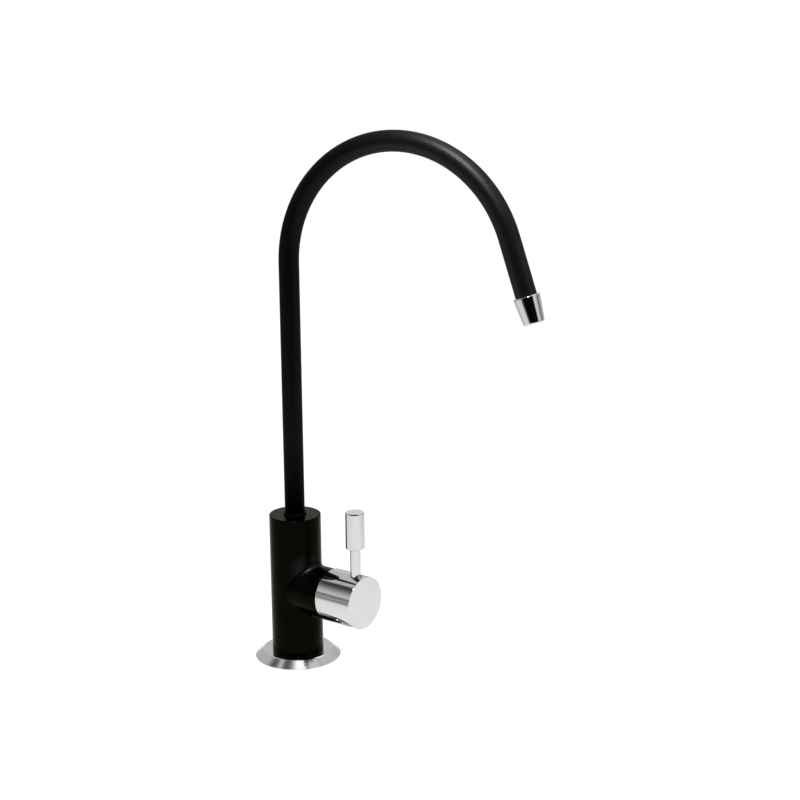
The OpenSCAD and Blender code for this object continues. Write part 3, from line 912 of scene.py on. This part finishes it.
# Heights as sines: where low goes over to high, and (height, brightness) of the wall and the window
HEIGHTS = (0, 1)
ROOM_RISE = (0.3, 0.55)
WALL = [(0.17, 0.55), (0.25, 0.8), (0.31, 0.8), (0.36, 0.6), (1, 0.62)]
WINDOW = [
    (0, 0.32), (0.12, 0.38), (0.19, 0.24), (0.235, 0.18), (0.29, 0.42), (0.345, 0.64), (0.4, 0.62),
    (0.46, 0.5), (0.55, 0.35), (0.64, 0.17), (0.71, 0.06), (0.81, 0.06), (0.845, 0.1),
    (0.866, 0.45), (0.89, 0.85), (0.908, 0.45), (0.927, 0.004), (0.96, 0.004),
]

# Where the wall and the window stand: (heading in degrees, share)
WALL_PLACE = [(108, 0), (118, 1), (146, 1), (156, 0)]
WINDOW_PLACE = [(-166, 0), (-159, 1), (-108, 1), (-96, 0)]

# Soft lights overhead: direction, brightness, and where their edge starts and ends
SOFT_LIGHTS = [
    ((0.09, 0, 0.996), 1.25, 0.1, 0.27),
    ((-0.057, 0.466, 0.883), 2.4, 0.12, 0.32),
]


def emission(tree, strength):
    """White light whose strength comes from a socket."""
    node = tree.nodes.new("ShaderNodeEmission")
    tree.links.new(strength, node.inputs["Strength"])
    return node.outputs["Emission"]


def mirrored_by_polish(tree, rays):
    """1 for what polish or glass shows, and 0 for the rest."""
    return math_node(tree, "MAXIMUM", rays["Is Glossy Ray"], rays["Is Transmission Ray"])


def steps(tree, value, low, high, stops):
    """Straight runs between (place, level) stops, for places from low to high."""
    ramp = tree.nodes.new("ShaderNodeValToRGB")
    elements = ramp.color_ramp.elements
    while len(elements) < len(stops):
        elements.new(1)
    for element, (place, level) in zip(elements, stops):
        element.position = (place - low) / (high - low)
        element.color = (*grey(level), 1)
    tree.links.new(spread(tree, value, 0, 1, low, high), ramp.inputs["Fac"])
    return ramp.outputs["Color"]


def flat_sheet(name, corners):
    """A four cornered sheet that belongs to the studio."""
    mesh = bpy.data.meshes.new(name)
    mesh.from_pydata(corners, [], [(0, 1, 2, 3)])
    sheet = bpy.data.objects.new(name, mesh)
    bpy.context.scene.collection.objects.link(sheet)
    return sheet


def along_floor(tree, heading):
    """How far a point of the floor lies from the tap along a heading."""
    way = (math.cos(heading), math.sin(heading), 0)
    return vector_value(tree, "DOT_PRODUCT", surface_point(tree), way)


def mirrored_floor(tree):
    """The floor's brightness as polish mirrors it: dark far in front, dim to the left and far off."""
    front = steps(tree, along_floor(tree, FRONT), *FLOOR_REACH, FLOOR_FRONT)
    left = steps(tree, along_floor(tree, LEFT), *FLOOR_REACH, FLOOR_LEFT)
    from_spot = vector_value(tree, "DISTANCE", surface_point(tree), BRIGHT_SPOT)
    far = steps(tree, from_spot, *FLOOR_REACH, FLOOR_FAR)
    return math_node(tree, "MULTIPLY", front, math_node(tree, "MINIMUM", left, far))


def studio_floor():
    """Floor that is white for the eye, takes the tap's shadow and has a look of its own in polish."""
    half = FLOOR_HALF
    corners = [(x, y, FLOOR_Z) for x, y in ((-half, -half), (half, -half), (half, half), (-half, half))]
    floor = flat_sheet("floor", corners)
    material = bpy.data.materials.new("floor_white")
    material.use_nodes = True
    tree = material.node_tree
    tree.nodes.clear()
    out = tree.nodes.new("ShaderNodeOutputMaterial")
    rays = tree.nodes.new("ShaderNodeLightPath").outputs
    paper = tree.nodes.new("ShaderNodeBsdfDiffuse")
    paper.inputs["Color"].default_value = (*grey(FLOOR_COLOR), 1)
    glow = math_node(tree, "MULTIPLY", rays["Is Camera Ray"], FLOOR_GLOW)
    seen = tree.nodes.new("ShaderNodeAddShader")
    tree.links.new(paper.outputs["BSDF"], seen.inputs[0])
    tree.links.new(emission(tree, glow), seen.inputs[1])
    whole = tree.nodes.new("ShaderNodeMixShader")
    tree.links.new(mirrored_by_polish(tree, rays), whole.inputs[0])
    tree.links.new(seen.outputs["Shader"], whole.inputs[1])
    tree.links.new(emission(tree, mirrored_floor(tree)), whole.inputs[2])
    tree.links.new(whole.outputs["Shader"], out.inputs["Surface"])
    floor.data.materials.append(material)


def mirrored_room(tree):
    """The room's brightness as polish mirrors it, by heading and height."""
    way = tree.nodes.new("ShaderNodeTexCoord").outputs["Generated"]
    parts = components(tree, way)
    height = parts["Z"]
    turn = math_node(tree, "ARCTAN2", parts["Y"], parts["X"])
    heading = math_node(tree, "MULTIPLY", turn, math.degrees(1))
    low = steps(tree, heading, *HEADINGS, ROOM_LOW)
    high = steps(tree, heading, *HEADINGS, ROOM_HIGH)
    around = blend(tree, spread(tree, height, 0, 1, *ROOM_RISE), low, high)
    for stand, levels in ((WALL_PLACE, WALL), (WINDOW_PLACE, WINDOW)):
        share = steps(tree, heading, *HEADINGS, stand)
        around = blend(tree, share, around, steps(tree, height, *HEIGHTS, levels))
    for middle, light, inner, outer in SOFT_LIGHTS:
        share = spread(tree, vector_value(tree, "DISTANCE", way, middle), 1, 0, inner, outer)
        around = blend(tree, share, around, light)
    return around


def studio_world():
    """White for the eye, an even light for the rest, and a room for polish to mirror."""
    world = bpy.data.worlds.new("studio")
    bpy.context.scene.world = world
    world.use_nodes = True
    tree = world.node_tree
    tree.nodes.clear()
    out = tree.nodes.new("ShaderNodeOutputWorld")
    rays = tree.nodes.new("ShaderNodeLightPath").outputs
    lit = blend(tree, mirrored_by_polish(tree, rays), WORLD_LIGHT, mirrored_room(tree))
    white = tree.nodes.new("ShaderNodeBackground")
    white.inputs["Color"].default_value = (1, 1, 1, 1)
    tree.links.new(blend(tree, rays["Is Camera Ray"], lit, 1), white.inputs["Strength"])
    tree.links.new(white.outputs["Background"], out.inputs["Surface"])


def key_lamp():
    """A soft square lamp that faces the middle of the tap."""
    data = bpy.data.lights.new("key_lamp", "AREA")
    data.size = LAMP_SIZE
    data.energy = LAMP_POWER
    lamp = bpy.data.objects.new("key_lamp", data)
    lamp.location = LAMP_PLACE
    lamp.rotation_mode = "QUATERNION"
    lamp.rotation_quaternion = (LAMP_AIM - LAMP_PLACE).to_track_quat("-Z", "Y")
    bpy.context.scene.collection.objects.link(lamp)


studio_floor()
studio_world()
key_lamp()
bpy.context.scene.view_settings.view_transform = "Standard"
